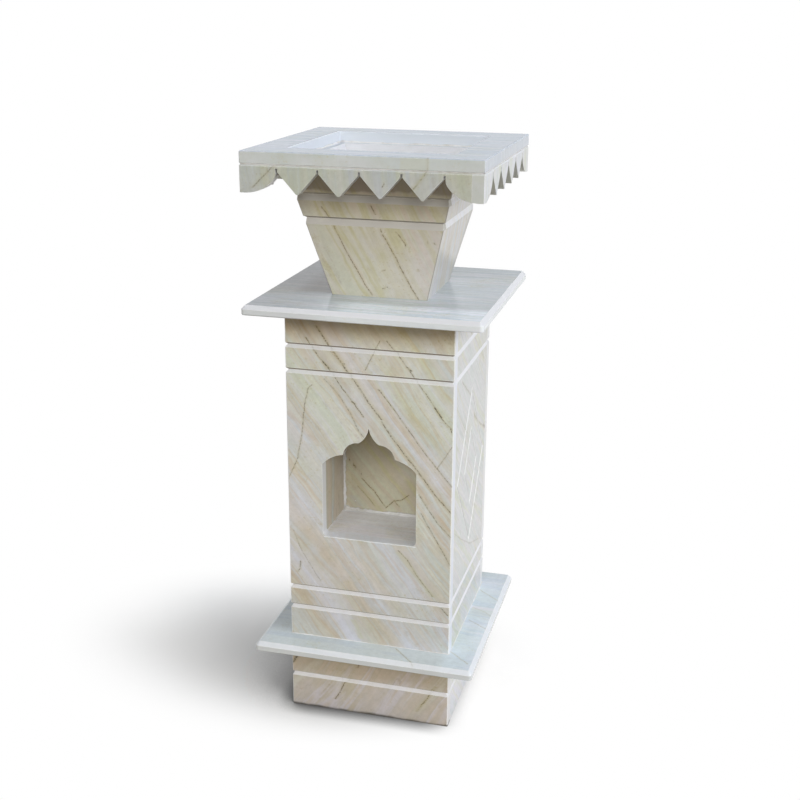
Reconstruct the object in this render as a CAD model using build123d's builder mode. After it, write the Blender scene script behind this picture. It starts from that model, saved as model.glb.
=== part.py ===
from build123d import *
from math import atan, cos
import os

# Tulsi vrindavan planter: a square marble pedestal with a lamp niche, carrying an
# upside-down pyramid pot under a square rim with a toothed skirt.
# Frame: origin on the ground at the middle of the foot, +Z up, the niche faces -Y.
# All sizes are in millimetres.

# ---- Stone stock ------------------------------------------------------------
slab = 18.0                     # upright slabs, rim and skirt
shelf_slab = 15.0               # the two projecting slabs
lining = 15.0                   # slabs of the niche's inner box
arris = 1.2                     # flat ground along every long outside corner

# ---- Foot and column --------------------------------------------------------
shaft_width = 264.0             # outside width of the foot and of the column
foot_height = 117.0
column_height = 543.0

# ---- Projecting slabs -------------------------------------------------------
lower_slab_width = 356.0
upper_slab_width = 364.0
slab_corner_radius = 6.0        # corners in plan
slab_bevel_width = 6.0          # 45 degree bevel round the top edge
slab_underside_round = 2.0

# ---- V grooves round the shaft ----------------------------------------------
groove_depth = 4.0
groove_above = 3.0              # height of the facet above the valley
groove_below = 5.0              # height of the facet below the valley
foot_groove_height = 59.0       # valley above the ground
bottom_groove_inset = 52.0      # lowest valley above the column's bottom
bottom_groove_spacing = 35.0
top_groove_inset = 53.0         # highest valley below the column's top
top_groove_spacing = 40.0

# ---- Diamonds incised on the left and right of the column -------------------
outer_diamond_width = 197.0
outer_diamond_height = 260.0
inner_diamond_width = 91.0
inner_diamond_height = 128.0
incision_width = 3.2
incision_depth = 1.4
incision_taper = 30.0           # slope of the incision's sides, in degrees

# ---- Niche ------------------------------------------------------------------
niche_width = 151.0
niche_sill_height = 180.0       # niche floor above the column's bottom
niche_depth = 112.0             # front face of the column to the niche's back wall
niche_corner_radius = 7.0
niche_headroom = 4.0            # arch apex to the roof of the inner box
jamb_height = 121.0             # niche floor to the spring of the arch
cusp_height = 140.0
cusp_half_width = 41.5
shoulder_height = 161.5         # where the upper lobe meets the ogee tip
shoulder_half_width = 16.0
apex_height = 188.0
lower_lobe_bulge = 3.5          # how far each curve leaves its chord
upper_lobe_bulge = 6.5
ogee_bulge = 3.5

# ---- Pot --------------------------------------------------------------------
pot_bottom_width = 150.0
pot_top_width = 260.0
pot_height = 206.0
pot_floor_thickness = 18.0
pot_groove_depth = 4.0
pot_groove_above = 2.5
pot_groove_below = 10.0
pot_lower_groove = 121.5        # valley above the pot's bottom
pot_groove_spacing = 36.5
weep_radius = 6.0               # drain hole through the back wall, level with the floor

# ---- Head -------------------------------------------------------------------
head_width = 356.0
rim_thickness = 18.0
rim_opening = 248.0
rim_opening_corner = 3.0
skirt_height = 41.0
joint_depth = 2.0               # small V groove where the skirt meets the rim
joint_above = 1.0
joint_below = 2.8

# ---- Teeth cut along each side of the skirt ---------------------------------
tooth_count = 4
tooth_pitch = 60.8
tooth_tip = 3.0                 # blunt width at the end of a tooth
notch_height = 32.0
kerf_width = 3.0                # saw cut that overruns each notch
kerf_height = 3.5
lobe_curve = 49.0               # width of the rounded part of each corner lobe

# ---- Levels and places that follow from the sizes ---------------------------
column_base = foot_height + shelf_slab
column_top = column_base + column_height
pot_base = column_top + shelf_slab
rim_base = pot_base + pot_height
skirt_base = rim_base - skirt_height
niche_floor = column_base + niche_sill_height
niche_roof_base = niche_floor + apex_height + niche_headroom
shaft_inside = shaft_width - 2 * slab
niche_back_face = niche_depth - shaft_width / 2
pot_slope = (pot_top_width - pot_bottom_width) / pot_height
pot_wall = slab / cos(atan(pot_slope / 2))
cutter_width = 2 * max(shaft_width, upper_slab_width, head_width)

FRONT, RIGHT, BACK, LEFT = range(4)
SIDES = {"front": FRONT, "right": RIGHT, "back": BACK, "left": LEFT}

os.makedirs("parts", exist_ok=True)


def save(piece, label):
    """Label a finished piece and write it to its own file."""
    piece.part.label = label
    export_step(piece.part, f"parts/{label}.step")


def side_plane(side, distance, height):
    """Upright plane on one side of the axis: local X runs to the viewer's right, local Y up."""
    normal = Vector(0, -1, 0).rotate(Axis.Z, 90 * side)
    to_the_right = Vector(1, 0, 0).rotate(Axis.Z, 90 * side)
    return Plane(origin=normal * distance + Vector(0, 0, height), x_dir=to_the_right, z_dir=normal)


def shaft_span(height):
    return shaft_width


def head_span(height):
    return head_width


def pot_span(height):
    """Outside width of the pot at a height above the ground."""
    return pot_bottom_width + pot_slope * (height - pot_base)


def groove_ring(valley, below, above, depth, span):
    """Square ring that cuts a V groove right round a block whose width is span(height)."""
    low = valley - below
    high = valley + above
    valley_width = span(valley) - 2 * depth
    with BuildPart() as ring:
        with BuildSketch(Plane.XY.offset(low)):
            Rectangle(cutter_width, cutter_width)
        extrude(amount=high - low)
        with BuildSketch(Plane.XY.offset(low)):
            Rectangle(span(low), span(low))
        with BuildSketch(Plane.XY.offset(valley)):
            Rectangle(valley_width, valley_width)
        loft(ruled=True, mode=Mode.SUBTRACT)
        with BuildSketch(Plane.XY.offset(valley)):
            Rectangle(valley_width, valley_width)
        with BuildSketch(Plane.XY.offset(high)):
            Rectangle(span(high), span(high))
        loft(ruled=True, mode=Mode.SUBTRACT)
    return ring.part


def wall_plan(width, wall, side):
    """Plan of one wall of a square box: front and back run full width, the others fit between."""
    across = side in (FRONT, BACK)
    length = width if across else width - 2 * wall
    centre = (width - wall) / 2
    with BuildSketch() as plan:
        Rectangle(width, width)
        chamfer(plan.vertices(), arris)
        with Locations(Rotation(0, 0, 90 * side) * Location((0, -centre))):
            Rectangle(length, wall, mode=Mode.INTERSECT)
    return plan.sketch


def upright_wall(side, base, height, cutters):
    """One slab of the foot or the column, grooved by the given cutters."""
    with BuildPart() as wall:
        with BuildSketch(Plane.XY.offset(base)):
            add(wall_plan(shaft_width, slab, side))
        extrude(amount=height)
        for cutter in cutters:
            add(cutter, mode=Mode.SUBTRACT)
    return wall


def projecting_slab(width, base):
    """Square slab with rounded corners, a bevelled top edge and a softened bottom edge."""
    with BuildPart() as plate:
        with BuildSketch(Plane.XY.offset(base)):
            RectangleRounded(width, width, slab_corner_radius)
        extrude(amount=shelf_slab)
        chamfer(plate.faces().sort_by(Axis.Z)[-1].edges(), slab_bevel_width)
        fillet(plate.faces().sort_by(Axis.Z)[0].edges(), slab_underside_round)
    return plate


# ---- Foot -------------------------------------------------------------------
foot_cutters = [groove_ring(foot_groove_height, groove_below, groove_above, groove_depth, shaft_span)]
for name, side in SIDES.items():
    save(upright_wall(side, 0, foot_height, foot_cutters), f"foot_{name}")

# ---- Projecting slabs -------------------------------------------------------
save(projecting_slab(lower_slab_width, foot_height), "lower_slab")
save(projecting_slab(upper_slab_width, column_top), "upper_slab")

# ---- Column -----------------------------------------------------------------
groove_valleys = [
    column_base + bottom_groove_inset,
    column_base + bottom_groove_inset + bottom_groove_spacing,
    column_top - top_groove_inset - top_groove_spacing,
    column_top - top_groove_inset,
]
column_cutters = [
    groove_ring(valley, groove_below, groove_above, groove_depth, shaft_span) for valley in groove_valleys
]


def diamond_incisions(side):
    """Two nested diamonds, drawn as shallow grooves with sloping sides."""
    face = side_plane(side, shaft_width / 2, column_base + column_height / 2)
    diamonds = [
        (outer_diamond_width, outer_diamond_height),
        (inner_diamond_width, inner_diamond_height),
    ]
    with BuildPart() as incisions:
        for width, height in diamonds:
            corners = [(width / 2, 0), (0, height / 2), (-width / 2, 0), (0, -height / 2)]
            with BuildSketch(face):
                Polygon(*corners)
                offset(amount=-incision_width, kind=Kind.INTERSECTION, mode=Mode.SUBTRACT)
            extrude(amount=-incision_depth, taper=incision_taper)
    return incisions.part


def arch_cutter():
    """Prism that cuts the niche's cusped arch through the front slab."""
    half = niche_width / 2
    with BuildPart() as cutter:
        with BuildSketch(side_plane(FRONT, shaft_width / 2, niche_floor)) as outline:
            with BuildLine():
                Polyline((0, 0), (half, 0), (half, jamb_height))
                SagittaArc((half, jamb_height), (cusp_half_width, cusp_height), -lower_lobe_bulge)
                SagittaArc(
                    (cusp_half_width, cusp_height), (shoulder_half_width, shoulder_height), -upper_lobe_bulge
                )
                SagittaArc((shoulder_half_width, shoulder_height), (0, apex_height), ogee_bulge)
                Line((0, apex_height), (0, 0))
            make_face()
            fillet(outline.vertices().sort_by(Axis.Y)[:2].sort_by(Axis.X)[-1], niche_corner_radius)
            mirror(about=Plane.YZ)
        extrude(amount=-slab)
    return cutter.part


side_cutters = {
    FRONT: [arch_cutter()],
    RIGHT: [diamond_incisions(RIGHT)],
    BACK: [],
    LEFT: [diamond_incisions(LEFT)],
}
for name, side in SIDES.items():
    cutters = column_cutters + side_cutters[side]
    save(upright_wall(side, column_base, column_height, cutters), f"column_{name}")

# ---- Niche box inside the column --------------------------------------------
niche_base = niche_floor - lining
niche_front_plane = -shaft_inside / 2
cheek_depth = niche_back_face - niche_front_plane
cheek_middle = niche_front_plane + cheek_depth / 2
cheek_height = niche_roof_base - niche_base
niche_outside_width = niche_width + 2 * lining
niche_outside_depth = cheek_depth + lining

with BuildPart() as niche_shelf:
    with BuildSketch(Plane.XY.offset(niche_base)):
        with Locations((0, cheek_middle)):
            Rectangle(niche_width, cheek_depth)
    extrude(amount=lining)
save(niche_shelf, "niche_shelf")

for name, direction in (("left", -1), ("right", 1)):
    with BuildPart() as cheek:
        with BuildSketch(Plane.XY.offset(niche_base)):
            with Locations((direction * (niche_width + lining) / 2, cheek_middle)):
                Rectangle(lining, cheek_depth)
        extrude(amount=cheek_height)
    save(cheek, f"niche_cheek_{name}")

with BuildPart() as niche_back:
    with BuildSketch(Plane.XY.offset(niche_base)):
        with Locations((0, niche_back_face + lining / 2)):
            Rectangle(niche_outside_width, lining)
    extrude(amount=cheek_height)
save(niche_back, "niche_back")

with BuildPart() as niche_roof:
    with BuildSketch(Plane.XY.offset(niche_roof_base)):
        with Locations((0, niche_front_plane + niche_outside_depth / 2)):
            Rectangle(niche_outside_width, niche_outside_depth)
    extrude(amount=lining)
save(niche_roof, "niche_roof")

# ---- Pot --------------------------------------------------------------------
pot_valleys = [pot_base + pot_lower_groove, pot_base + pot_lower_groove + pot_groove_spacing]
pot_cutters = [
    groove_ring(valley, pot_groove_below, pot_groove_above, pot_groove_depth, pot_span)
    for valley in pot_valleys
]
weep_height = pot_base + pot_floor_thickness + weep_radius

for name, side in SIDES.items():
    with BuildPart() as wall:
        for height in (pot_base, rim_base):
            with BuildSketch(Plane.XY.offset(height)):
                add(wall_plan(pot_span(height), pot_wall, side))
        loft(ruled=True)
        for cutter in pot_cutters:
            add(cutter, mode=Mode.SUBTRACT)
        if side == BACK:
            with BuildSketch(Plane.XZ.offset(-pot_top_width / 2)):
                with Locations((0, weep_height)):
                    Circle(weep_radius)
            extrude(amount=pot_top_width / 2, mode=Mode.SUBTRACT)
    save(wall, f"pot_{name}")

with BuildPart() as pot_floor:
    for height in (pot_base, pot_base + pot_floor_thickness):
        inside = pot_span(height) - 2 * pot_wall
        with BuildSketch(Plane.XY.offset(height)):
            Rectangle(inside, inside)
    loft(ruled=True)
save(pot_floor, "pot_floor")

# ---- Head -------------------------------------------------------------------
joint_cutter = groove_ring(rim_base, joint_below, joint_above, joint_depth, head_span)

with BuildPart() as rim_slab:
    with BuildSketch(Plane.XY.offset(rim_base)) as rim_plan:
        Rectangle(head_width, head_width)
        chamfer(rim_plan.vertices(), arris)
        RectangleRounded(rim_opening, rim_opening, rim_opening_corner, mode=Mode.SUBTRACT)
    extrude(amount=rim_thickness)
    chamfer(rim_slab.faces().sort_by(Axis.Z)[-1].edges(), arris)
    add(joint_cutter, mode=Mode.SUBTRACT)
save(rim_slab, "rim_slab")


def notch_cutter(side):
    """Everything cut away below one side of the skirt: notches, saw kerfs and lobe curves."""
    apex = notch_height + kerf_height
    half_notch = (tooth_pitch - tooth_tip) / 2
    end_notch = tooth_count * tooth_pitch / 2
    with BuildPart() as cutter:
        with BuildSketch(side_plane(side, head_width / 2, skirt_base)):
            with BuildLine():
                Polyline((end_notch, apex), (end_notch, notch_height), (end_notch - half_notch, 0))
                Line((end_notch - half_notch, 0), (end_notch + lobe_curve, 0))
                EllipticalCenterArc((end_notch + lobe_curve, apex), lobe_curve, apex, start_angle=180)
            make_face()
            mirror(about=Plane.YZ)
            with GridLocations(tooth_pitch, 0, tooth_count - 1, 1):
                Polygon((-half_notch, 0), (half_notch, 0), (0, notch_height), align=None)
            with Locations((0, apex / 2)):
                with GridLocations(tooth_pitch, 0, tooth_count + 1, 1):
                    Rectangle(kerf_width, apex)
        extrude(amount=-slab)
    return cutter.part


notch_cutters = {side: notch_cutter(side) for side in SIDES.values()}
skirt_length = head_width - slab
strip_offset = (head_width - slab) / 2

for name, side in SIDES.items():
    side_before = (side - 1) % len(SIDES)
    with BuildPart() as strip:
        with BuildSketch(Plane.XY.offset(skirt_base)) as strip_plan:
            Rectangle(head_width, head_width)
            chamfer(strip_plan.vertices(), arris)
            with Locations(Rotation(0, 0, 90 * side) * Location((-slab / 2, -strip_offset))):
                Rectangle(skirt_length, slab, mode=Mode.INTERSECT)
        extrude(amount=skirt_height)
        for cutter in (joint_cutter, notch_cutters[side], notch_cutters[side_before]):
            add(cutter, mode=Mode.SUBTRACT)
    save(strip, f"skirt_{name}")
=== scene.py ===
import math
import random

import bmesh
import bpy
from mathutils import Matrix, Vector


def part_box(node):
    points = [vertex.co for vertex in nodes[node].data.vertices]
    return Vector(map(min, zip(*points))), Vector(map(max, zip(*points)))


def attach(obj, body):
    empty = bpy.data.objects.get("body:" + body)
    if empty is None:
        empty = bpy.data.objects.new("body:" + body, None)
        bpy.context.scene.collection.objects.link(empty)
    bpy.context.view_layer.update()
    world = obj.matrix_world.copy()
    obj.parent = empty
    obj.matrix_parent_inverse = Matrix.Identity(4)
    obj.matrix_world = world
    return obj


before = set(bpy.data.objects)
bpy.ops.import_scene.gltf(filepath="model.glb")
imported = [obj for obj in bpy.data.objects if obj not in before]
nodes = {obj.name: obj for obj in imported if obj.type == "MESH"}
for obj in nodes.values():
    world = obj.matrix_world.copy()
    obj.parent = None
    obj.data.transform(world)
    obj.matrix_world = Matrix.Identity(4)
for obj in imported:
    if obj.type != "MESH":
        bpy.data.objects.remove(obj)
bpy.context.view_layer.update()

scene = bpy.context.scene
MM = 0.001
X, Y, Z = Vector((1, 0, 0)), Vector((0, 1, 0)), Vector((0, 0, 1))


# ---- Places taken from the frame, in millimetres ----------------------------
def corners(node):
    low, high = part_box(node)
    return low / MM, high / MM


column_low, column_high = corners("column_front")
lower_low, lower_high = corners("lower_slab")
upper_low, _ = corners("upper_slab")
rim_low, rim_high = corners("rim_slab")
shelf_low, shelf_high = corners("niche_shelf")
roof_low, _ = corners("niche_roof")
shaft_half = column_high.x
diamond_centre = (column_low.z + column_high.z) / 2

# two sizes that no box gives
opening_half = 124.0  # half the width of the planting opening
pot_foot_inside = 70.0  # a little less than half the pot's width at its foot


# ---- Colours ----------------------------------------------------------------
def rgb(red, green, blue):
    """A colour given as 0-255 display values, turned to the linear values that shaders take."""
    def linear(value):
        value /= 255
        return value / 12.92 if value <= 0.04045 else ((value + 0.055) / 1.055) ** 2.4
    return linear(red), linear(green), linear(blue), 1.0


# the marble's bands
CREAM = rgb(219, 218, 204)
SAGE = rgb(214, 216, 200)
LILAC = rgb(224, 221, 226)
MIST = rgb(212, 216, 216)
SLATE = rgb(202, 208, 213)
BLUSH = rgb(219, 209, 195)
TAN = rgb(209, 202, 186)
RUST = rgb(204, 185, 158)
OLIVE = rgb(208, 205, 168)

# its veins and flecks, and the painted shade under things
OCHRE = rgb(190, 176, 128)
STAIN_AND_SHADE = rgb(122, 108, 84)
VEIN = rgb(116, 101, 72)
INK = rgb(66, 62, 52)

# sawn, worn and dusty stone
WHITE = rgb(253, 253, 254)
CHALK = rgb(244, 245, 248)
SAWN = rgb(236, 236, 241)
POT_SAWN = rgb(200, 196, 190)
ENDS = rgb(226, 228, 234)
STRIP = rgb(226, 230, 244)
REVEAL = rgb(240, 242, 250)
EDGE = rgb(228, 228, 224)
UPPER_EDGE = rgb(234, 237, 240)
LOWER_EDGE = rgb(207, 208, 209)
HEAD_FACE = rgb(236, 235, 220)
HEAD_SIDE = rgb(204, 206, 214)
HEAD_END = rgb(206, 209, 200)

# inside the planting opening: the rim's walls, the pot's walls and the pot's top
PALE_BLUE = rgb(234, 239, 248)
POT_INSIDE = rgb(192, 196, 204)
LEDGE = rgb(200, 205, 213)

# blotches of adhesive and filler, from dull to bright
FILLER_DULL = rgb(214, 211, 205)
FILLER_MIDDLE = rgb(234, 233, 234)
FILLER_BRIGHT = rgb(243, 243, 245)


# ---- Shader helpers ---------------------------------------------------------
class Net:
    """Adds nodes to a shader tree and links them; an input may be a number, a tuple or a socket."""

    def __init__(self, tree):
        self.tree = tree
        tree.nodes.clear()

    def put(self, socket, value):
        if isinstance(value, bpy.types.NodeSocket):
            self.tree.links.new(value, socket)
        else:
            socket.default_value = value

    def node(self, kind, inputs=(), **settings):
        node = self.tree.nodes.new(kind)
        for key, value in settings.items():
            setattr(node, key, value)
        for key, value in dict(inputs).items():
            self.put(node.inputs[key], value)
        return node

    def math(self, operation, a, b=0.0, clamp=False):
        node = self.node("ShaderNodeMath", {0: a, 1: b}, operation=operation, use_clamp=clamp)
        return node.outputs[0]

    def plus(self, a, b):
        return self.math("ADD", a, b)

    def minus(self, a, b):
        return self.math("SUBTRACT", a, b)

    def times(self, a, b):
        return self.math("MULTIPLY", a, b)

    def larger(self, a, b):
        return self.math("MAXIMUM", a, b)

    def size(self, a):
        return self.math("ABSOLUTE", a)

    def vector(self, operation, a, b):
        return self.node("ShaderNodeVectorMath", {0: a, 1: b}, operation=operation).outputs[0]

    def dot(self, a, b):
        node = self.node("ShaderNodeVectorMath", {0: a, 1: b}, operation="DOT_PRODUCT")
        return node.outputs["Value"]

    def length(self, a):
        return self.node("ShaderNodeVectorMath", {0: a}, operation="LENGTH").outputs["Value"]

    def scaled(self, a, factor):
        node = self.node("ShaderNodeVectorMath", {0: a, "Scale": factor}, operation="SCALE")
        return node.outputs[0]

    def join(self, x, y, z):
        return self.node("ShaderNodeCombineXYZ", {0: x, 1: y, 2: z}).outputs[0]

    def grey(self, level):
        return self.join(level, level, level)

    def split(self, vector):
        return self.node("ShaderNodeSeparateXYZ", {0: vector}).outputs

    def step(self, value, low, high):
        """0 below low, 1 above high, smooth between; the other way round if low is the higher."""
        inputs = {"Value": value, "From Min": low, "From Max": high}
        return self.node("ShaderNodeMapRange", inputs, interpolation_type="SMOOTHSTEP").outputs[0]

    def noise(self, vector, scale=1.0, detail=2.0, roughness=0.5, output="Fac"):
        inputs = {"Vector": vector, "Scale": scale, "Detail": detail, "Roughness": roughness}
        return self.node("ShaderNodeTexNoise", inputs).outputs[output]

    def mix(self, factor, a, b, blend="MIX"):
        # inputs 0, 6 and 7 of the mix node are its factor and its two colours
        node = self.node("ShaderNodeMix", {0: factor, 6: a, 7: b}, data_type="RGBA", blend_type=blend)
        return node.outputs[2]

    def multiplied(self, colour, factors):
        return self.mix(1.0, colour, factors, "MULTIPLY")

    def ramp(self, value, stops):
        """The outputs Color and Alpha of a ramp; each stop is a position and a colour."""
        node = self.node("ShaderNodeValToRGB", {"Fac": value})
        elements = node.color_ramp.elements
        while len(elements) < len(stops):
            elements.new(0.5)
        for element, (position, colour) in zip(elements, stops):
            element.position = position
            element.color = colour
        return node.outputs

    def seen_directly(self):
        """1 for rays from the camera, mirrors and glass, 0 for the rays that carry light around."""
        path = self.node("ShaderNodeLightPath").outputs
        bounced = self.larger(path["Is Glossy Ray"], path["Is Transmission Ray"])
        return self.larger(path["Is Camera Ray"], bounced)

    def surface(self, shader):
        self.node("ShaderNodeOutputMaterial", {"Surface": shader})


def new_material(name):
    material = bpy.data.materials.new(name)
    material.use_nodes = True
    return material


# ---- Marble -----------------------------------------------------------------
# each broad face: its axis across, its axis up and the axis through the slab
PLANES = {"front": (X, Z, Y), "side": (Y, Z, X), "top": (X, Y, Z)}
BAND_LEAN = 0.2  # how far the bands slant through a slab's thickness
SLOW_WANDER, QUICK_WANDER = 30 * MM, 7 * MM  # of the bands, off their straight course
VEIN_JITTER = 5 * MM  # of the drawn veins, off their curves
VEIN_TIP = 1.5 * MM  # over which a drawn vein fades in and out
THIN_VEIN = 4  # mm; thinner ones are stitched, dotted with ink and have an ochre halo
ZONE_RIPPLE = 20 * MM  # of the limits of a zone of painted shade, painted sheen or tone
ROUNDING = 0.7 * MM  # of the arrises
PLAIN_PALETTE = (SAGE, CREAM, MIST, CREAM, BLUSH, LILAC, CREAM, TAN)

# how much of what lies under it each layer hides where it is thickest, from 0 to 1
KNOWN_BANDS_COVER = 0.52
CLOUD_COVER = 0.3
HAZE_COVER = 0.45
FLECK_COVER = 0.6
THREAD_COVER = 0.55
HALO_COVER = 0.45
DOT_COVER = 0.7
PIT_COVER = 0.5
END_COVER = 0.65
INSIDE_COVER = 0.75
LEDGE_COVER = 0.85
CONTACT_SHADE_COVER = 0.85


class Marble(Net):
    """One slab's surface. Each lay_ function lays one more layer on the colour so far."""

    def __init__(self, tree, plane, slope, seed):
        super().__init__(tree)
        self.seed = seed
        self.across_face, self.up_face, self.through = PLANES[plane]
        rise, run = math.sin(math.radians(slope)), math.cos(math.radians(slope))
        band_normal = self.across_face * rise + self.up_face * run + self.through * BAND_LEAN
        band_run = self.across_face * run - self.up_face * rise

        self.place = self.node("ShaderNodeTexCoord").outputs["Object"]
        # every slab has its own piece of the noise
        self.drift = self.vector("ADD", self.place, (seed * 1.37, seed * 2.11, seed * 0.73))
        slow = self.minus(self.noise(self.drift, scale=3.5, detail=2), 0.5)
        self.quick = self.minus(self.noise(self.drift, scale=28, detail=3), 0.5)
        wander = self.plus(self.times(slow, SLOW_WANDER), self.times(self.quick, QUICK_WANDER))
        self.across = self.plus(self.dot(self.place, band_normal), wander)
        self.along = self.dot(self.place, band_run)
        self.depth = self.dot(self.place, self.through)

    def paint(self, cover, colour):
        self.colour = self.mix(cover, self.colour, colour)

    def patches(self, scale, detail, roughness, none_at, full_at):
        """Patches of noise, the finer the larger the scale: 0 below none_at, 1 above full_at."""
        return self.step(self.noise(self.drift, scale, detail, roughness), none_at, full_at)

    def banded(self, across, along, depth):
        """The place in the slab's bands, times these factors; noise on it is drawn out along them."""
        return self.join(self.times(self.across, across), self.times(self.along, along),
                         self.times(self.depth, depth))

    def lay_bands(self, palette, bands):
        """Broad bands in the palette's colours, and the known bands where the slab has them."""
        stretched = self.banded(across=26, along=1.8, depth=4)
        field = self.vector("ADD", stretched, (self.seed * 3.1, self.seed, 0))
        # the noise seldom leaves this range
        first, last = 0.35, 0.65
        share = (last - first) / (len(palette) - 1)
        stops = [(first + share * i, hue) for i, hue in enumerate(palette)]
        self.colour = self.ramp(self.noise(field, detail=6, roughness=0.55), stops)["Color"]
        if bands:
            low, high = bands[0][0], bands[-1][0]
            level = self.math("DIVIDE", self.minus(self.across, low), high - low)
            stops = [((place - low) / (high - low), hue) for place, hue in bands]
            self.paint(KNOWN_BANDS_COVER, self.ramp(level, stops)["Color"])

    def lay_clouds(self):
        self.cloud = self.noise(self.drift, scale=11, detail=4, roughness=0.6)
        self.paint(self.times(self.step(self.cloud, 0.5, 0.72), CLOUD_COVER), OLIVE)
        apart = self.vector("ADD", self.drift, (5, 3, 9))
        haze = self.noise(apart, scale=8, detail=4, roughness=0.6)
        self.paint(self.times(self.step(haze, 0.48, 0.66), HAZE_COVER), LILAC)

    def lay_streaks(self, streaks):
        """Fine streaks along the bands, stronger in the clouds, and a fine mottle."""
        grain = self.noise(self.banded(across=210, along=12, depth=40), detail=4, roughness=0.7)
        swing = self.times(self.minus(grain, 0.5), self.times(self.cloud, 0.85 * streaks))
        shade = self.plus(1.0, swing)
        # the mottle goes from 15 per cent darker to 15 per cent lighter
        mottle = self.noise(self.drift, scale=110, detail=4, roughness=0.7)
        shade = self.times(shade, self.plus(0.85, self.times(mottle, 0.3)))
        self.colour = self.multiplied(self.colour, self.grey(shade))

    def lay_flecks(self):
        """Small yellow-brown flecks, thicker in the clouds."""
        flecks = self.patches(scale=240, detail=3, roughness=0.65, none_at=0.56, full_at=0.72)
        flecks = self.times(flecks, self.step(self.cloud, 0.35, 0.7))
        self.paint(self.times(flecks, FLECK_COVER), OCHRE)

    def lay_threads(self, busy):
        """Thin random veins, broken along their length."""
        stretched = self.banded(across=12, along=1.1, depth=3)
        field = self.vector("ADD", stretched, (self.seed, 7, self.seed))
        line = self.size(self.minus(self.noise(field, detail=3, roughness=0.55), 0.5))
        dashes = self.patches(scale=190, detail=3, roughness=0.7, none_at=0.42, full_at=0.58)
        runs = self.patches(scale=24, detail=3, roughness=0.7, none_at=0.46, full_at=0.6)
        broken = self.times(runs, dashes)
        threads = self.times(self.step(line, 0.009, 0.001), self.times(broken, THREAD_COVER * busy))
        hues = self.mix(self.noise(self.drift, scale=60, detail=3), VEIN, RUST)
        self.paint(threads, hues)
        # where veins and pits are the polish is duller
        self.dark = threads

    def lay_veins(self, veins):
        """The slab's own veins, drawn through their points."""
        jitter = self.split(self.noise(self.drift, scale=45, detail=7, roughness=0.78, output="Color"))
        stitches = self.patches(scale=330, detail=2, roughness=0.6, none_at=0.42, full_at=0.58)
        dots = self.patches(scale=410, detail=2, roughness=0.6, none_at=0.5, full_at=0.6)
        first = self.plus(self.dot(self.place, self.across_face),
                          self.times(self.minus(jitter[0], 0.5), VEIN_JITTER))
        second = self.plus(self.dot(self.place, self.up_face),
                           self.times(self.minus(jitter[1], 0.5), VEIN_JITTER))
        for points, width, strength, hue in veins:
            core, halo = self.vein_mask(first, second, points, width)
            thin = width < THIN_VEIN and hue != WHITE
            if thin:
                self.paint(self.times(halo, HALO_COVER * strength), OCHRE)
                # between its stitches a quarter of the vein is left
                core = self.times(core, self.plus(0.25, self.times(stitches, 0.75)))
                self.dark = self.larger(self.dark, self.times(core, strength))
            cover = self.times(core, strength)
            self.paint(cover, hue)
            if thin:
                self.paint(self.times(cover, self.times(dots, DOT_COVER)), INK)

    def vein_mask(self, first, second, points, width):
        """How much of the vein covers the place, from 0 to 1, and its wider soft halo.

        The vein is a curve over whichever of the two coordinates it runs along the furthest.
        """
        points = [(x * MM, y * MM) for x, y in points]
        span_first = abs(points[-1][0] - points[0][0])
        span_second = abs(points[-1][1] - points[0][1])
        if span_second > span_first:
            first, second = second, first
            points = [(y, x) for x, y in points]
        points.sort()
        low, high = points[0][0], points[-1][0]
        span = high - low
        inputs = {"Value": first, "From Min": low, "From Max": high}
        run = self.node("ShaderNodeMapRange", inputs).outputs[0]

        # the ramp's alpha, which holds 0 to 1, is the curve above its base; its grey is the cover
        base = points[0][1] - 0.5
        tip = VEIN_TIP / span
        start, *middle, end = [((u - low) / span, v - base) for u, v in points]
        stops = [(0.0, (0.0, 0.0, 0.0, start[1])), (tip, (1.0, 1.0, 1.0, start[1]))]
        stops += [(position, (1.0, 1.0, 1.0, offset)) for position, offset in middle]
        stops += [(1 - tip, (1.0, 1.0, 1.0, end[1])), (1.0, (0.0, 0.0, 0.0, end[1]))]
        curve = self.ramp(run, stops)

        # a steep vein is wider when it is measured along the second coordinate
        length = math.hypot(span, points[-1][1] - points[0][1])
        half = width * MM * length / span
        miss = self.size(self.minus(second, self.plus(curve["Alpha"], base)))
        core = self.times(self.step(miss, half, 0.25 * half), curve["Color"])
        halo = self.times(self.step(miss, 3.5 * half, 0), curve["Color"])
        return core, halo

    def lay_pits(self):
        ragged = 2 * MM
        shake = self.scaled(self.noise(self.drift, scale=300, detail=2, output="Color"), ragged)
        inputs = {"Vector": self.vector("ADD", self.drift, shake), "Scale": 42}
        cells = self.node("ShaderNodeTexVoronoi", inputs, feature="F1").outputs
        # one cell in five has a pit, of any size up to this share of the cell
        radius = self.times(self.step(self.split(cells["Color"])[0], 0.8, 1.0), 0.05)
        self.pits = self.math("LESS_THAN", cells["Distance"], radius)
        self.paint(self.times(self.pits, PIT_COVER), VEIN)
        self.dark = self.larger(self.dark, self.pits)

    def lay_tone_and_painted_light(self, tone, tone_and_painted_light_zones):
        """The slab's tone, and zones of painted shade, painted sheen and tone with rippling limits."""
        self.colour = self.multiplied(self.colour, (*tone, 1))
        ripple = self.times(self.quick, ZONE_RIPPLE)
        position = self.split(self.place)
        for shade, *spans in tone_and_painted_light_zones:
            cover = 1.0
            for axis, none_at, full_at in spans:
                level = self.plus(position["xyz".index(axis)], ripple)
                cover = self.times(cover, self.step(level, none_at * MM, full_at * MM))
            self.paint(cover, self.multiplied(self.colour, (*shade, 1)))

    def find_facets(self):
        """Faces that slope upwards are sawn, not polished. A face's rise is 1 if it lies flat."""
        self.normal = self.node("ShaderNodeNewGeometry").outputs["True Normal"]
        self.rise = self.split(self.normal)[2]
        self.facet = self.times(self.step(self.rise, 0.03, 0.12), self.step(self.rise, 0.97, 0.9))

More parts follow.
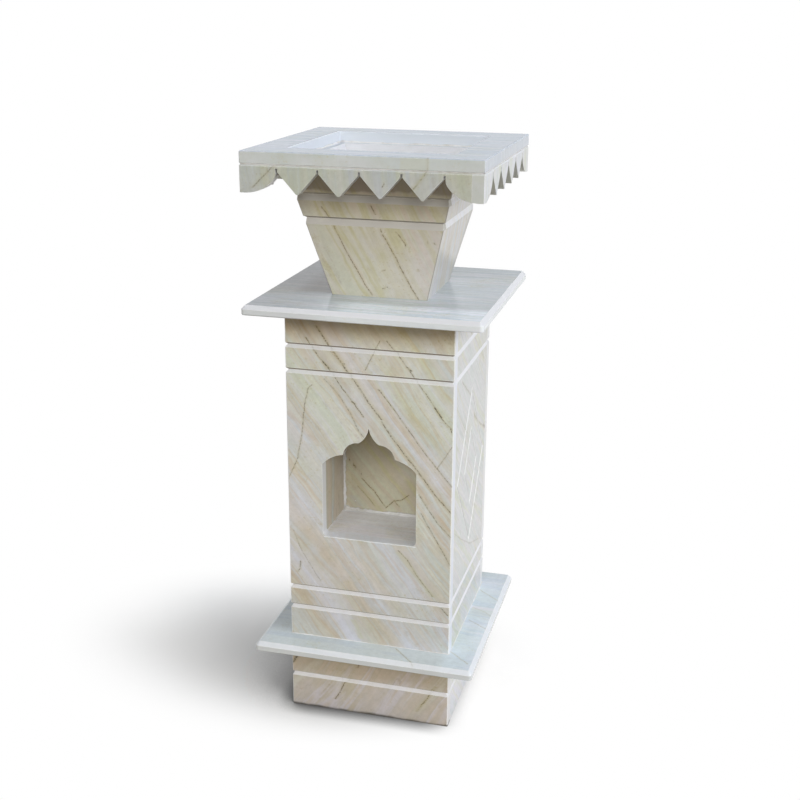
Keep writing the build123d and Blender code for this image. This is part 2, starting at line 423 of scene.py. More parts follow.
    def lay_ends(self, ends, strip):
        """Slab ends show the bands edge on. The grooves' sides are sawn facets."""
        facing = self.size(self.dot(self.normal, self.through))
        cover = self.times(self.step(facing, 0.3, 0.2), END_COVER)
        if strip:
            half_width, strip_colour = strip
            aside = self.size(self.dot(self.place, self.across_face))
            # 0 on the reveals, 1 on the two outer ends, which are also covered more
            outer = self.step(aside, (half_width - 3) * MM, (half_width - 2) * MM)
            ends = self.mix(outer, ends, strip_colour)
            cover = self.times(cover, self.plus(1.0, self.times(outer, 0.35)))
        self.paint(cover, ends)
        groove = self.times(self.step(facing, 0.25, 0.4), self.step(facing, 0.93, 0.85))
        self.facet = self.larger(self.facet, groove)

    def find_bright_arrises(self, wear_and_highlight):
        """Arrises, where the bevelled normal turns away from the face, chipped here and there;
        whitened, they are partly worn stone, partly a painted highlight.
        """
        radius = (1.0 + wear_and_highlight) * MM
        soft = self.node("ShaderNodeBevel", {"Radius": radius}, samples=4).outputs["Normal"]
        chips = self.patches(scale=90, detail=4, roughness=0.7, none_at=0.42, full_at=0.62)
        # at high settings the arris between the chips is taken as well
        chips = self.larger(chips, max(0.0, wear_and_highlight - 0.4))
        return self.times(self.step(self.dot(soft, self.normal), 0.99, 0.93), chips)

    def lay_edges(self, edge, side_edge, edge_cover):
        """The upright edges of a plate, which may have another colour at the right and the left."""
        upright = self.times(self.step(self.size(self.rise), 0.3, 0.1), edge_cover)
        if side_edge:
            edge = self.mix(self.size(self.split(self.normal)[0]), edge, side_edge)
        self.paint(upright, edge)

    def lay_inside(self, plate):
        """The faces that look in at the axis; a standing slab's top is the ledge under the rim."""
        outward = self.vector("MULTIPLY", self.place, (1, 1, 0))
        facing = self.dot(self.normal, outward)
        inner = self.times(self.step(facing, -0.01, -0.02), INSIDE_COVER)
        self.paint(inner, PALE_BLUE if plate else POT_INSIDE)
        if not plate:
            self.paint(self.times(self.step(self.rise, 0.95, 0.98), LEDGE_COVER), LEDGE)

    def lay_powder_and_highlight(self, sawn, pale_facet_amount):
        """Saw powder on the facets, in uneven patches; on the grooves' lit facets and the plates'
        bevels it is partly a painted highlight.
        """
        flat = self.vector("MULTIPLY", self.drift, (1, 1, 3))
        uneven = self.times(self.noise(flat, scale=38, detail=4, roughness=0.7), 0.7)
        powder_and_highlight = self.math("ADD", pale_facet_amount - 0.2, uneven, clamp=True)
        self.paint(self.times(self.facet, powder_and_highlight), sawn)

    def lay_diamond_dust(self, diamonds):
        """Stone dust left in the incised diamonds, thick in the sides that rise to the right."""
        aside = self.dot(self.place, self.across_face)
        above = self.minus(self.dot(self.place, self.up_face), diamond_centre * MM)
        rising = self.step(self.times(aside, above), 0.0001, -0.0001)
        thin = 0.3
        amount = self.plus(thin, self.times(rising, 1 - thin))
        patches = self.patches(scale=70, detail=3, roughness=0.7, none_at=0.3, full_at=0.5)
        amount = self.times(amount, patches)
        aside, above = self.size(aside), self.size(above)
        outer, inner = 3.2 * MM, 1.7 * MM  # where the line of dust begins and is full
        for width, height in diamonds:
            half_wide, half_high = 0.5 * width * MM, 0.5 * height * MM
            reach = half_wide * half_high / math.hypot(half_wide, half_high)
            # from the diamond's outline, square to its sides
            miss = self.plus(self.times(aside, reach / half_wide),
                             self.minus(self.times(above, reach / half_high), reach))
            line = self.step(self.size(miss), outer, inner)
            self.paint(self.times(line, amount), WHITE)

    def lay_underside_shade(self, underside_shade):
        """Painted shade: the facets that face downwards are darkened."""
        under = self.step(self.rise, -0.1, -0.3)
        self.paint(self.times(under, underside_shade), STAIN_AND_SHADE)

    def lay_contact_shade(self):
        """Painted shade: a dark line along the ground."""
        height = self.plus(self.split(self.place)[2], self.times(self.quick, 8 * MM))
        self.paint(self.times(self.step(height, 5 * MM, 0.5 * MM), CONTACT_SHADE_COVER), INK)

    def polish(self, gloss, shine):
        """Dull facets, veins and pits in the polish, fine relief, and arrises a little rounded."""
        # how much each of these adds to the roughness
        uneven, facet_dull, dark_dull = 0.14, 0.25, 0.2
        rough = self.plus(gloss, self.times(self.noise(self.drift, scale=60, detail=4), uneven))
        rough = self.plus(rough, self.times(self.facet, facet_dull))
        rough = self.plus(rough, self.times(self.dark, dark_dull))
        swell = self.times(self.noise(self.drift, scale=260, detail=3), 0.05)
        relief = self.minus(swell, self.pits)
        rounded = self.node("ShaderNodeBevel", {"Radius": ROUNDING}, samples=4).outputs["Normal"]
        inputs = {"Strength": 0.35, "Distance": 0.35 * MM, "Height": relief, "Normal": rounded}
        bump = self.node("ShaderNodeBump", inputs).outputs[0]
        inputs = {"Base Color": self.colour, "Roughness": rough, "Normal": bump,
                  "Specular IOR Level": shine}
        self.surface(self.node("ShaderNodeBsdfPrincipled", inputs).outputs[0])


def stone(name, plane, slope, seed, palette=PLAIN_PALETTE, bands=None, veins=(), busy=1.0,
          streaks=0.6, tone=(1, 1, 1), tone_and_painted_light_zones=(), gloss=0.24, shine=0.5,
          plate=False, edge=EDGE, side_edge=None, edge_cover=0.75, hollow=False,
          ends=ENDS, strip=None, sawn=SAWN, pale_facet_amount=0.55, wear_and_highlight=0.6, underside_shade=0.5, contact_shade=False, diamonds=()):
    """Polished marble with diagonal bands, broken veins and pits, sawn pale on its cut faces.

    plane, slope: the slab's broad face, and the fall of its bands to the viewer's right in degrees
    palette, bands: colours of the random bands; (metres across the bands, colour) of known ones
    veins: (points in mm, width in mm, strength, colour) on the broad face
    busy, streaks: strength of the random veins and of the fine streaks
    tone: multiplies the whole colour
    zones of painted shade, painted sheen and tone: (multiplier, (axis, mm where it has no effect,
    mm where it has all), ...)
    gloss, shine: lowest roughness, and the specular level
    plate: polished on its edges as well, in the colours edge and, at right and left, side_edge
    hollow: stands round, or has in it, the planting opening
    ends, strip: colour of a standing slab's ends; (mm from the middle, colour) of its outer ends
    sawn and its amount: colour and amount of the powder on sawn facets, partly a painted highlight
    wear, underside and contact shade: worn arrises, whitened partly as a painted highlight;
    painted shade on the facets that face downwards; a painted shade line along the ground
    diamonds: (width, height) in mm of the incised diamonds
    """
    material = new_material(name)
    marble = Marble(material.node_tree, plane, slope, seed)
    marble.lay_bands(palette, bands)
    marble.lay_clouds()
    marble.lay_streaks(streaks)
    marble.lay_flecks()
    marble.lay_threads(busy)
    if veins:
        marble.lay_veins(veins)
    marble.lay_pits()
    marble.lay_tone_and_painted_light(tone, tone_and_painted_light_zones)
    marble.find_facets()
    if not plate:
        marble.lay_ends(ends, strip)
    bright_arris = marble.find_bright_arrises(wear_and_highlight)
    if plate:
        marble.lay_edges(edge, side_edge, edge_cover)
    if hollow:
        marble.lay_inside(plate)
    marble.lay_powder_and_highlight(sawn, pale_facet_amount)
    # the arrises whitened: partly worn stone, partly a painted highlight where they catch the light
    marble.paint(marble.times(bright_arris, wear_and_highlight), WHITE)
    if diamonds:
        marble.lay_diamond_dust(diamonds)
    marble.lay_underside_shade(underside_shade)
    if contact_shade:
        marble.lay_contact_shade()
    marble.polish(gloss, shine)
    return material


def dress(material, *names):
    for name in names:
        slots = nodes[name].data.materials
        slots.clear()
        slots.append(material)


# ---- The stone of each slab -------------------------------------------------
# Bands, veins and zones are placed on the faces that the photograph shows.
side_palette = (MIST, CREAM, LILAC, MIST, LILAC, SAGE, MIST)

# column
front_palette = (SAGE, CREAM, LILAC, BLUSH, CREAM, RUST, MIST, TAN, BLUSH)
front_bands = [
    (-0.03, TAN), (0.01, RUST), (0.035, LILAC), (0.06, TAN), (0.085, RUST), (0.11, LILAC),
    (0.13, BLUSH), (0.152, MIST), (0.17, LILAC), (0.20, TAN), (0.215, CREAM), (0.235, SAGE),
    (0.252, CREAM), (0.264, BLUSH), (0.274, MIST), (0.286, RUST), (0.291, CREAM), (0.306, TAN),
    (0.313, LILAC), (0.324, RUST), (0.335, MIST), (0.349, OLIVE), (0.37, CREAM), (0.40, SAGE),
    (0.41, OLIVE), (0.425, MIST), (0.46, CREAM), (0.51, SAGE),
]
front_veins = [
    ([(-98, 636), (-80, 608), (-60, 585), (-42, 560), (-24, 538), (-8, 515)], 1.3, 0.8, VEIN),
    ([(-71, 599), (-62, 588)], 2.0, 0.95, INK),
    ([(-26, 541), (-22, 535)], 1.6, 0.9, INK),
    ([(-82, 655), (-62, 625), (-50, 610), (-36, 590), (-20, 570), (0, 540), (20, 513)],
     1.8, 0.75, VEIN),
    ([(-58, 618), (-40, 595)], 3.2, 0.5, RUST),
    ([(20, 513), (42, 481), (62, 457), (78, 437), (105, 402), (131, 373)], 1.6, 0.75, VEIN),
    ([(15, 564), (32, 543), (50, 519), (68, 495), (90, 466), (108, 445), (131, 416)],
     1.2, 0.65, VEIN),
    ([(28, 640), (44, 621), (60, 600), (80, 573), (100, 547), (113, 526), (129, 508)],
     1.2, 0.65, VEIN),
    ([(60, 602), (66, 594)], 1.5, 0.85, INK),
    ([(103, 543), (113, 526)], 1.4, 0.95, INK),
    ([(126, 510), (130, 506)], 2.0, 0.9, INK),
    ([(-70, 573), (-58, 560), (-45, 545), (-30, 522), (-15, 492), (-8, 483)], 1.4, 0.5, STAIN_AND_SHADE),
    ([(-90, 562), (-96, 556), (-102, 530), (-104, 512), (-107, 483), (-115, 440), (-132, 400)],
     1.1, 0.6, STAIN_AND_SHADE),
    ([(18, 640), (13, 630), (5, 612), (-5, 590)], 1.0, 0.55, STAIN_AND_SHADE),
    ([(130, 484), (120, 465), (108, 445)], 1.0, 0.5, STAIN_AND_SHADE),
    ([(80, 400), (98, 372), (110, 355), (131, 333)], 1.2, 0.6, VEIN),
    ([(84, 370), (100, 340), (113, 318), (131, 285)], 1.2, 0.6, VEIN),
    ([(48, 303), (62, 288), (72, 272), (80, 260), (92, 245), (104, 228)], 1.3, 0.7, VEIN),
    ([(47, 300), (80, 258), (104, 228)], 7, 0.3, OLIVE),
    ([(118, 213), (128, 199)], 1.5, 0.7, VEIN),
    ([(-114, 264), (-115, 250), (-119, 242)], 1.4, 0.65, VEIN),
    ([(-27, 172), (-20, 158), (-13, 137)], 6, 0.4, OLIVE),
    ([(-125, 318), (-112, 282), (-95, 255), (-80, 230)], 1.0, 0.4, STAIN_AND_SHADE),
    # a white line along the niche sill's arris: a painted highlight
    ([(-75, 310.9), (76, 310.9)], 0.9, 0.9, WHITE),
]
# painted shade under the upper slab: the shaft darkens and browns towards the slab in two steps; the
# last zone darkens the stone towards the bottom
front_painted_shade_and_tone = (
    ((0.985, 0.96, 0.9), ("z", 575, 625)),
    ((0.69, 0.59, 0.46), ("z", 622, 656)),
    ((0.88, 0.88, 0.88), ("z", 420, 150)),
)
side_veins = [
    ([(-79, 568), (-45, 548), (-9, 527)], 2.2, 0.35, STAIN_AND_SHADE),
    ([(22, 482), (60, 458), (122, 427)], 2.4, 0.4, STAIN_AND_SHADE),
    ([(18, 486), (30, 474)], 3.0, 0.45, STAIN_AND_SHADE),
    ([(100, 440), (124, 426)], 2.6, 0.5, STAIN_AND_SHADE),
    ([(-114, 539), (-70, 500), (-30, 470)], 1.4, 0.25, STAIN_AND_SHADE),
    ([(-110, 330), (-60, 300), (10, 262), (90, 236)], 1.4, 0.25, STAIN_AND_SHADE),
    ([(-40, 640), (20, 610), (90, 560)], 1.4, 0.25, STAIN_AND_SHADE),
]
column_front = stone(
    "marble_column_front", "front", slope=53, seed=1.0, palette=front_palette, bands=front_bands,
    veins=front_veins, busy=0.5, streaks=0.65, tone=(1.0, 1.035, 1.09), tone_and_painted_light_zones=front_painted_shade_and_tone,
    ends=REVEAL, strip=(shaft_half, STRIP), wear_and_highlight=0.9, underside_shade=0.85)
column_side = stone(
    "marble_column_side", "side", slope=40, seed=4.0, palette=side_palette, veins=side_veins,
    busy=0.3, streaks=1.1, tone=(0.88, 0.89, 0.88), pale_facet_amount=1.0, underside_shade=0.2,
    diamonds=((197, 260), (91, 128)))
column_back = stone("marble_column_back", "front", slope=-50, seed=7.0)
dress(column_front, "column_front")
dress(column_side, "column_right", "column_left")
dress(column_back, "column_back")

# foot
foot_palette = (TAN, BLUSH, LILAC, TAN, BLUSH, TAN, CREAM)
foot_veins = [
    ([(-106, 119), (-112, 108), (-121, 94), (-131, 76)], 2.6, 0.9, INK),
    ([(-32, 61), (-42, 52), (-48, 37), (-58, 18)], 1.5, 0.75, VEIN),
    ([(-50, 62), (-43, 55)], 1.3, 0.6, VEIN),
    ([(-14, 96), (-20, 82)], 2.0, 0.6, VEIN),
    ([(112, 72), (98, 45), (80, 18)], 2.2, 0.6, OLIVE),
    ([(106, 66), (98, 46), (88, 30)], 1.2, 0.6, VEIN),
]
# the band above the groove, under the lower slab, is darkened and browned as painted shade
foot_front = stone(
    "marble_foot_front", "front", slope=-58, seed=12.0, palette=foot_palette, veins=foot_veins,
    busy=0.6, streaks=0.25, tone=(0.79, 0.765, 0.755), contact_shade=True,
    tone_and_painted_light_zones=(((0.82, 0.77, 0.7), ("z", 50, 80)),))
foot_side = stone("marble_foot_side", "side", slope=45, seed=15.0, palette=side_palette, busy=0.6,
                  tone=(0.94, 0.96, 1.03))
foot_back = stone("marble_foot_back", "front", slope=48, seed=18.0, contact_shade=True)
dress(foot_front, "foot_front")
dress(foot_side, "foot_right", "foot_left")
dress(foot_back, "foot_back")

# pot
pot_palette = (SAGE, CREAM, OLIVE, CREAM, BLUSH, CREAM, OLIVE)
pot_side_palette = (CREAM, MIST, LILAC, TAN, LILAC, MIST, BLUSH)
pot_veins = [
    ([(-77, 830), (-64, 808), (-58, 792), (-45, 760), (-35, 740), (-22, 712), (-11, 692)],
     1.3, 0.75, VEIN),
    ([(9, 797), (13, 795)], 2.2, 0.8, VEIN),
    ([(13, 792), (20, 777), (30, 757), (45, 722), (55, 702), (61, 690)], 1.5, 0.8, VEIN),
    ([(34, 798), (42, 784), (47, 776)], 1.2, 0.75, VEIN),
    ([(44, 779), (48, 776)], 2.2, 0.95, INK),
    ([(-2, 836), (4, 820)], 1.5, 0.75, VEIN),
    ([(79, 784), (82, 782)], 1.5, 0.7, VEIN),
    ([(90, 784), (91, 779)], 1.4, 0.6, VEIN),
    ([(63, 741), (64, 735)], 1.5, 0.6, VEIN),
    ([(5, 733), (14, 735)], 1.0, 0.6, VEIN),
    ([(5, 705), (12, 706)], 1.0, 0.6, VEIN),
]
# painted light: the lower front is lightened as though lit by the upper slab below it; painted shade
# darkens the band under the head and, most, the top seen between the skirt's teeth
pot_painted_light = (
    ((1.12, 1.12, 1.12), ("z", 800, 690)),
    ((0.84, 0.8, 0.74), ("z", 812, 834)),
    ((0.5, 0.46, 0.46), ("z", 852, 858)),
)
# its tone lightens the front well beyond the column's stone, also as painted light
pot_front = stone(
    "marble_pot_front", "front", slope=62, seed=21.0, palette=pot_palette, veins=pot_veins,
    busy=0.5, streaks=0.4, tone=(1.4, 1.38, 1.39), tone_and_painted_light_zones=pot_painted_light, hollow=True,
    ends=WHITE, strip=(pot_foot_inside, WHITE), sawn=POT_SAWN, pale_facet_amount=0.9)
pot_side = stone(
    "marble_pot_side", "side", slope=60, seed=24.0, palette=pot_side_palette, busy=0.9,
    streaks=0.8, tone=(1.27, 1.3, 1.35), hollow=True, wear_and_highlight=0.9)
pot_back = stone("marble_pot_back", "front", slope=-55, seed=27.0, palette=pot_palette, hollow=True)
pot_floor = stone("marble_pot_floor", "top", slope=30, seed=29.0, gloss=0.5, plate=True)
dress(pot_front, "pot_front")
dress(pot_side, "pot_right", "pot_left")
dress(pot_back, "pot_back")
dress(pot_floor, "pot_floor")

# the two projecting slabs
plate_palette = (SLATE, MIST, LILAC, MIST, SLATE, MIST, LILAC, MIST)
# painted shade and reflection darken the slab towards the left, most beside the pot's foot; a painted
# sheen lightens its front from the middle to the right
upper_painted_light = (
    ((0.74, 0.74, 0.75), ("x", -20, -120)),
    ((0.72, 0.7, 0.68), ("x", -60, -90), ("y", -110, -60)),
    ((0.6, 0.55, 0.5), ("x", -150, -112), ("x", -60, -80), ("y", -80, -58)),
    ((1.62, 1.61, 1.64), ("x", -90, -10), ("y", -105, -130)),
)
upper_plate = stone(
    "marble_upper_plate", "top", slope=2, seed=31.0, palette=plate_palette, busy=0.2, streaks=1.4,
    tone=(0.835, 0.885, 0.94), tone_and_painted_light_zones=upper_painted_light, gloss=0.12, shine=0.25, plate=True,
    edge=UPPER_EDGE, pale_facet_amount=0.85, wear_and_highlight=0.9, underside_shade=0.1)
lower_palette = (SLATE, MIST, MIST, MIST, SLATE, MIST, LILAC)
lower_veins = [
    ([(134, 100), (178, 65)], 1.1, 0.32, STAIN_AND_SHADE),
    ([(134, 34), (160, 22), (182, 0)], 1.0, 0.25, STAIN_AND_SHADE),
    ([(138, -12), (178, -38)], 1.1, 0.28, STAIN_AND_SHADE),
    ([(132, -123), (150, -138), (168, -152)], 1.1, 0.38, STAIN_AND_SHADE),
    ([(134, 24), (184, 20)], 26, 0.3, TAN),
    ([(46, -135), (67, -158), (84, -178)], 1.2, 0.5, VEIN),
]
# a painted sheen lightens and blues the right end; painted shade darkens the left end beside the
# column
lower_painted_light = (
    ((1.14, 1.17, 1.21), ("x", 110, 140)),
    ((0.76, 0.76, 0.77), ("x", -120, -145), ("y", -140, -100)),
)
lower_plate = stone(
    "marble_lower_plate", "top", slope=4, seed=35.0, palette=lower_palette, veins=lower_veins,
    busy=0.3, streaks=0.25, tone=(1.07, 1.115, 1.145), tone_and_painted_light_zones=lower_painted_light, gloss=0.14, plate=True,
    edge=LOWER_EDGE, wear_and_highlight=0.9, underside_shade=0.1)
dress(upper_plate, "upper_slab")
dress(lower_plate, "lower_slab")

# head
head_palette = (SAGE, MIST, SAGE, CREAM, MIST)
head_veins = [
    ([(-126, 896), (-140, 881), (-158, 861)], 1.4, 0.5, VEIN),
    ([(99, 900), (88, 884), (77, 868)], 2.0, 0.6, OLIVE),
    ([(-136, 889), (-134, 888)], 1.9, 0.8, INK),
    ([(-150, 898), (-147, 898)], 1.5, 0.7, VEIN),
    ([(32, 872), (38, 876)], 1.4, 0.5, VEIN),
]
rim_veins = [
    ([(58, -181), (79, -179), (100, -181)], 6, 0.4, OLIVE),
    ([(97, -181), (99, -170)], 1.4, 0.6, VEIN),
]
rim = stone(
    "marble_rim", "top", slope=1, seed=41.0, palette=plate_palette, veins=rim_veins, busy=0.2,
    streaks=1.0, tone=(0.72, 0.81, 0.95), gloss=0.16, plate=True, edge=HEAD_FACE,
    side_edge=HEAD_SIDE, edge_cover=0.5, hollow=True, pale_facet_amount=0.1, underside_shade=0.0)
skirt_front = stone(
    "marble_skirt_front", "front", slope=84, seed=44.0, palette=head_palette, veins=head_veins,
    busy=0.3, tone=(0.8, 0.82, 0.83), pale_facet_amount=0.1, underside_shade=0.15)
skirt_side = stone(
    "marble_skirt_side", "side", slope=80, seed=47.0, palette=side_palette, busy=0.3,
    tone=(0.96, 0.99, 1.05), ends=HEAD_END, pale_facet_amount=0.1, underside_shade=0.15)
dress(rim, "rim_slab")
dress(skirt_front, "skirt_front", "skirt_back")
dress(skirt_side, "skirt_left", "skirt_right")

# lamp niche
lining_palette = (TAN, OLIVE, TAN, SAGE, TAN)
cheek_palette = (TAN, BLUSH, TAN, MIST, BLUSH)
shelf_palette = (LILAC, ENDS, LILAC, MIST)
back_veins = [
    ([(-45, 371), (-34, 359), (-23, 348), (-14, 335), (-5, 322)], 1.1, 0.75, VEIN),
    ([(-5, 322), (10, 336), (22, 338), (36, 349)], 1.2, 0.8, VEIN),
    ([(10, 336), (14, 331), (20, 327)], 1.1, 0.6, VEIN),
    ([(-52, 357), (-35, 338), (-23, 322)], 1.0, 0.4, VEIN),
    ([(-68, 402), (-64, 400)], 2.6, 0.6, STAIN_AND_SHADE),
    ([(-61, 393), (-54, 388)], 2.8, 0.75, STAIN_AND_SHADE),
    ([(-47, 377), (-45, 375)], 1.8, 0.8, INK),
    ([(-58, 328), (-54, 328)], 2.4, 1.0, CHALK),
    ([(-62, 339), (-48, 319)], 9.0, 0.35, SLATE),
]
niche_back = stone(
    "marble_niche_back", "front", slope=50, seed=51.0, palette=lining_palette, veins=back_veins,
    busy=0.4, streaks=0.5, tone=(0.9, 0.87, 0.8), gloss=0.5)
niche_cheek = stone(
    "marble_niche_cheek", "side", slope=90, seed=53.0, palette=cheek_palette, streaks=0.3,
    tone=(0.9, 0.88, 0.86), gloss=0.45)
niche_shelf = stone(
    "marble_niche_shelf", "top", slope=3, seed=55.0, palette=shelf_palette, busy=0.3, streaks=0.9,
    tone=(1.13, 1.13, 1.13), gloss=0.3, plate=True)
dress(niche_back, "niche_back")
dress(niche_cheek, "niche_cheek_left", "niche_cheek_right")
dress(niche_shelf, "niche_shelf", "niche_roof")


# ---- Stone filler and adhesive at the joints --------------------------------
def filler_material():
    material = new_material("joint_filler")
    net = Net(material.node_tree)
    place = net.node("ShaderNodeTexCoord").outputs["Object"]
    blotch = net.noise(place, scale=70, detail=4, roughness=0.65)
    stops = [(0.3, FILLER_DULL), (0.55, FILLER_MIDDLE), (0.75, FILLER_BRIGHT)]
    colour = net.ramp(blotch, stops)["Color"]
    rough = net.plus(0.45, net.times(blotch, 0.3))
    relief = net.noise(place, scale=400, detail=4, roughness=0.6)
    inputs = {"Strength": 0.5, "Distance": 0.4 * MM, "Height": relief}
    bump = net.node("ShaderNodeBump", inputs).outputs[0]
    inputs = {"Base Color": colour, "Roughness": rough, "Normal": bump}
    net.surface(net.node("ShaderNodeBsdfPrincipled", inputs).outputs[0])
    return material


filler = filler_material()


def bead(name, start, end, wall_a, wall_b, size, seed, step=4.0, uneven=0.32):
    """Uneven fillet of filler along an inside corner, from start to end, all in millimetres.

    wall_a and wall_b are the directions away from the corner along its two walls.
    """
    thinnest, thickest = 0.35 * size, 1.9 * size
    pull, skew_share = 0.35, 0.8
    # the fillet's hollow face, as shares of its two widths
    near, middle, far = 0.62, 0.36, 0.45

    draw = random.Random(seed)
    count = max(3, int((end - start).length / step))
    mesh = bmesh.new()
    rings = []
    width = size
    for i in range(count + 1):
        width += (size - width) * pull + draw.uniform(-uneven, uneven) * size
        width = min(max(width, thinnest), thickest)
        skew = 1 + draw.uniform(-skew_share, skew_share) * uneven
        corner = start.lerp(end, i / count)
        a, b = width * skew, width / skew
        outline = [
            corner,
            corner + wall_a * a,
            corner + wall_a * a * near + wall_b * b * middle * far,
            corner + wall_a * a * middle + wall_b * b * middle,
            corner + wall_a * a * middle * far + wall_b * b * near,
            corner + wall_b * b,
        ]
        rings.append([mesh.verts.new(point * MM) for point in outline])
    for low, high in zip(rings, rings[1:]):
        for j in range(len(low)):
            k = (j + 1) % len(low)
            mesh.faces.new((low[j], low[k], high[k], high[j]))
    mesh.faces.new(reversed(rings[0]))
    mesh.faces.new(rings[-1])
    bmesh.ops.recalc_face_normals(mesh, faces=mesh.faces)
    data = bpy.data.meshes.new(name)
    mesh.to_mesh(data)
    mesh.free()
    piece = bpy.data.objects.new(name, data)
    scene.collection.objects.link(piece)
    data.materials.append(filler)
    for polygon in data.polygons:
        polygon.use_smooth = True
    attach(piece, "root")


# inside corners of the niche
left, right = shelf_low.x, shelf_high.x
front, back = shelf_low.y, shelf_high.y
floor_z, roof_z = shelf_high.z, roof_low.z
front_left, front_right = Vector((left, front, floor_z)), Vector((right, front, floor_z))
back_left, back_right = Vector((left, back, floor_z)), Vector((right, back, floor_z))
top_left, top_right = Vector((left, back, roof_z)), Vector((right, back, roof_z))
lump_start, lump_end = back_left + X, back_left + X * 24
for name, start, end, wall_a, wall_b, size, seed in (
        ("back_base", back_left, back_right, -Y, Z, 3.6, 1),
        ("back_left", back_left, top_left, -Y, X, 3.0, 2),
        ("corner", lump_start, lump_end, -Y, Z, 6.0, 6),
        ("back_right", back_right, top_right, -Y, -X, 2.4, 3),
        ("left_base", front_left, back_left, X, Z, 1.2, 4),
        ("right_base", front_right, back_right, -X, Z, 1.2, 5)):
    bead(f"filler_niche_{name}", start, end, wall_a, wall_b, size, seed)


def square(half, level):
    """The four sides of a square round the axis: name, start, end and the way out."""
    return (
        ("front", Vector((-half, -half, level)), Vector((half, -half, level)), -Y),
        ("right", Vector((half, -half, level)), Vector((half, half, level)), X),
        ("back", Vector((half, half, level)), Vector((-half, half, level)), Y),
        ("left", Vector((-half, half, level)), Vector((-half, -half, level)), -X),
    )


# thin adhesive lines where the column and the foot meet the slabs
for name, level, up, first_seed in (
        ("glue_column_base", lower_high.z, Z, 20),
        ("glue_column_top", upper_low.z, -Z, 30),
        ("glue_foot_top", lower_low.z, -Z, 40)):
    for i, (side, start, end, outward) in enumerate(square(shaft_half, level)):
        bead(f"{name}_{side}", start, end, outward, up,
             size=0.9, seed=first_seed + i, step=9.0)

# adhesive on the pot's top, along the foot of the opening's walls
for side, start, end, outward in square(opening_half, rim_low.z):
    bead(f"glue_rim_{side}", start, end, -outward, Z, size=2.2, seed=61, step=8.0)

# the joint between rim and skirt is pointed with white adhesive, deep in its small groove
groove_depth, groove_rise, groove_fall = 2.0, 1.0, 2.8
for i, (side, start, end, outward) in enumerate(square(rim_high.x - groove_depth, rim_low.z)):
    upper_lip = (outward * groove_depth + Z * groove_rise).normalized()
    lower_lip = (outward * groove_depth - Z * groove_fall).normalized()
    bead(f"glue_head_{side}", start, end, upper_lip, lower_lip,
         size=1.5, seed=70 + i, step=6.0, uneven=0.06)


# ---- Floor and background ---------------------------------------------------
WARM_BOUNCE = (0.5, 0.42, 0.3, 1)
PAPER_DARK = (1.56, 1.52, 1.5, 1)
PAPER_PALE = (1.6, 1.56, 1.54, 1)
SKY_LIGHT = (0.82, 0.91, 1.0, 1)
PLAIN_WHITE = (1, 1, 1, 1)

# metres
CONTACT_REACH, WIDE_REACH = 0.035, 0.45
HELD_TO, CLEARED_FROM = 0.08, 0.16  # on the x axis; between them the painted shadow gives way to the lamp
SHADOW_MIDDLE = (-0.19, 0.06)
FADE_START, FADE_END = 0.2, 0.48  # from the shadow's middle


def floor_material():
    """White floor that keeps the object's shadow, deepened by painted shadow from occlusion, and fades
    into the white background.
    """
    material = new_material("floor_white")
    net = Net(material.node_tree)
    seen = net.seen_directly()
    place = net.node("ShaderNodeTexCoord").outputs["Object"]
    paper = net.mix(net.noise(place, scale=30, detail=3), PAPER_DARK, PAPER_PALE)
    # the light that the floor throws up at the object is warm
    colour = net.mix(seen, WARM_BOUNCE, paper)

    # painted shadow from occlusion darkens the floor's colour to the left of the object; the lamp on
    # the right would clear it away on that side, so there it is faded
    inputs = {"Distance": CONTACT_REACH}
    contact = net.node("ShaderNodeAmbientOcclusion", inputs, samples=8).outputs["AO"]
    contact = net.math("POWER", contact, 2.0)
    away = net.step(net.split(place)[0], CLEARED_FROM, HELD_TO)
    rest = 0.1
    held = net.plus(rest, net.times(away, 1 - rest))
    contact = net.plus(1.0, net.times(held, net.minus(contact, 1.0)))
    contact = net.grey(contact)
    inputs = {"Distance": WIDE_REACH}
    wide = net.node("ShaderNodeAmbientOcclusion", inputs, samples=12).outputs["AO"]
    wide = net.times(net.math("POWER", wide, 1.6), 1.03)
    held = net.times(seen, held)
    wide = net.plus(1.0, net.times(held, net.minus(wide, 1.0)))
    colour = net.multiplied(colour, contact)
    colour = net.multiplied(colour, net.grey(wide))

    # round the middle of the shadow the floor is matte; from there it fades to plain white
    matte = net.node("ShaderNodeBsdfDiffuse", {"Color": colour}).outputs[0]
    white = net.node("ShaderNodeEmission", {"Color": contact, "Strength": 1.0}).outputs[0]
    from_middle = net.vector("ADD", place, (-SHADOW_MIDDLE[0], -SHADOW_MIDDLE[1], 0))
    reach = net.length(net.vector("MULTIPLY", from_middle, (1, 1.5, 0)))
    fade = net.times(net.step(reach, FADE_START, FADE_END), seen)
    net.surface(net.node("ShaderNodeMixShader", {0: fade, 1: matte, 2: white}).outputs[0])
    return material


def make_floor(half=20.0, cells=8):
    mesh = bmesh.new()
    bmesh.ops.create_grid(mesh, x_segments=cells, y_segments=cells, size=half)
    data = bpy.data.meshes.new("floor")
    mesh.to_mesh(data)
    mesh.free()
    floor = bpy.data.objects.new("floor", data)
    scene.collection.objects.link(floor)
    data.materials.append(floor_material())


def make_sky():
    """Plain white where it is seen, weak bluish light where it is not."""
    world = bpy.data.worlds.new("studio")
    scene.world = world
    world.use_nodes = True
    net = Net(world.node_tree)
    seen = net.seen_directly()
    inputs = {"Color": SKY_LIGHT, "Strength": 0.18}
    daylight = net.node("ShaderNodeBackground", inputs).outputs[0]
    inputs = {"Color": PLAIN_WHITE, "Strength": 1.0}
    backdrop = net.node("ShaderNodeBackground", inputs).outputs[0]
    both = net.node("ShaderNodeMixShader", {0: seen, 1: daylight, 2: backdrop}).outputs[0]
    net.node("ShaderNodeOutputWorld", {"Surface": both})


make_floor()
make_sky()


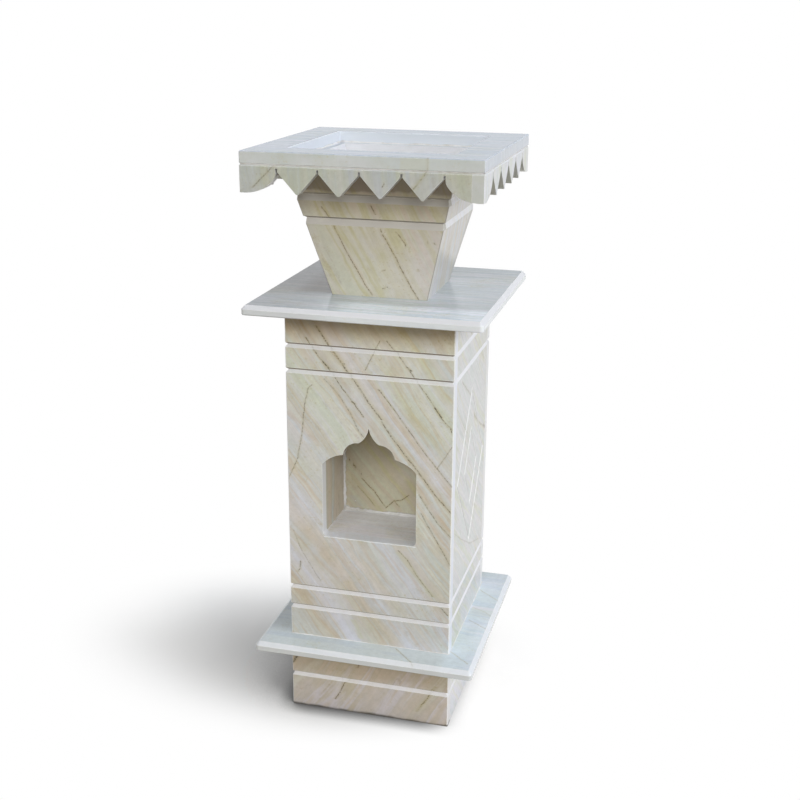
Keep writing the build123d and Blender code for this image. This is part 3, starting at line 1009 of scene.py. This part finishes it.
# ---- Lamps ------------------------------------------------------------------
def sun(name, towards, spread, strength, colour):
    """Soft distant lamp; towards is the direction in which it is seen from the object.

    spread: its width in degrees. strength: the level of white that it gives a face turned to it.
    """
    data = bpy.data.lights.new(name, "SUN")
    data.angle = math.radians(spread)
    data.energy = strength * math.pi
    data.color = colour
    lamp = bpy.data.objects.new(name, data)
    lamp.rotation_mode = "QUATERNION"
    lamp.rotation_quaternion = Vector(towards).to_track_quat("Z", "Y")
    scene.collection.objects.link(lamp)
    return lamp


# the key light is wide: three soft lamps side by side in front of the object
key_azimuths = (-20, 15, 50)
key_height = 0.5
key_strength = 0.62
for i, azimuth in enumerate(key_azimuths):
    towards = (math.sin(math.radians(azimuth)), -math.cos(math.radians(azimuth)), key_height)
    sun(f"key_{i}", towards, spread=20, strength=key_strength / len(key_azimuths),
        colour=(1.0, 0.994, 0.963))
fill = sun("fill_back", (-0.65, 0.75, 0.06), spread=30, strength=0.42, colour=(0.96, 0.98, 1.0))
# its mirror image would lie as a white patch on the polished tops
fill.visible_glossy = False
sun("side_right", (1.0, 0.0, 0.36), spread=50, strength=0.53, colour=(0.93, 0.965, 1.0))

# ---- Camera, solved from the object's corners in the photograph -------------
camera_place = Vector((0.4956, -1.8038, 1.1180))
yaw, pitch, roll = 0.2611, 0.3176, 0.0069  # radians
focal_length_px = 1218.34
frame_width_px = 800
sensor_width_mm = 36.0

forward = Vector((-math.sin(yaw) * math.cos(pitch), math.cos(yaw) * math.cos(pitch), -math.sin(pitch)))
level_right = forward.cross(Z).normalized()
level_up = level_right.cross(forward)
right_axis = level_right * math.cos(roll) + level_up * math.sin(roll)
up_axis = level_up * math.cos(roll) - level_right * math.sin(roll)
turn = Matrix((right_axis, up_axis, -forward)).transposed()

camera_data = bpy.data.cameras.new("camera")
camera_data.sensor_fit = "HORIZONTAL"
camera_data.sensor_width = sensor_width_mm
camera_data.lens = focal_length_px / frame_width_px * sensor_width_mm
camera_data.clip_start = 0.05
camera_data.clip_end = 200
camera = bpy.data.objects.new("camera", camera_data)
camera.matrix_world = Matrix.Translation(camera_place) @ turn.to_4x4()
scene.collection.objects.link(camera)
scene.camera = camera

scene.view_settings.view_transform = "Standard"
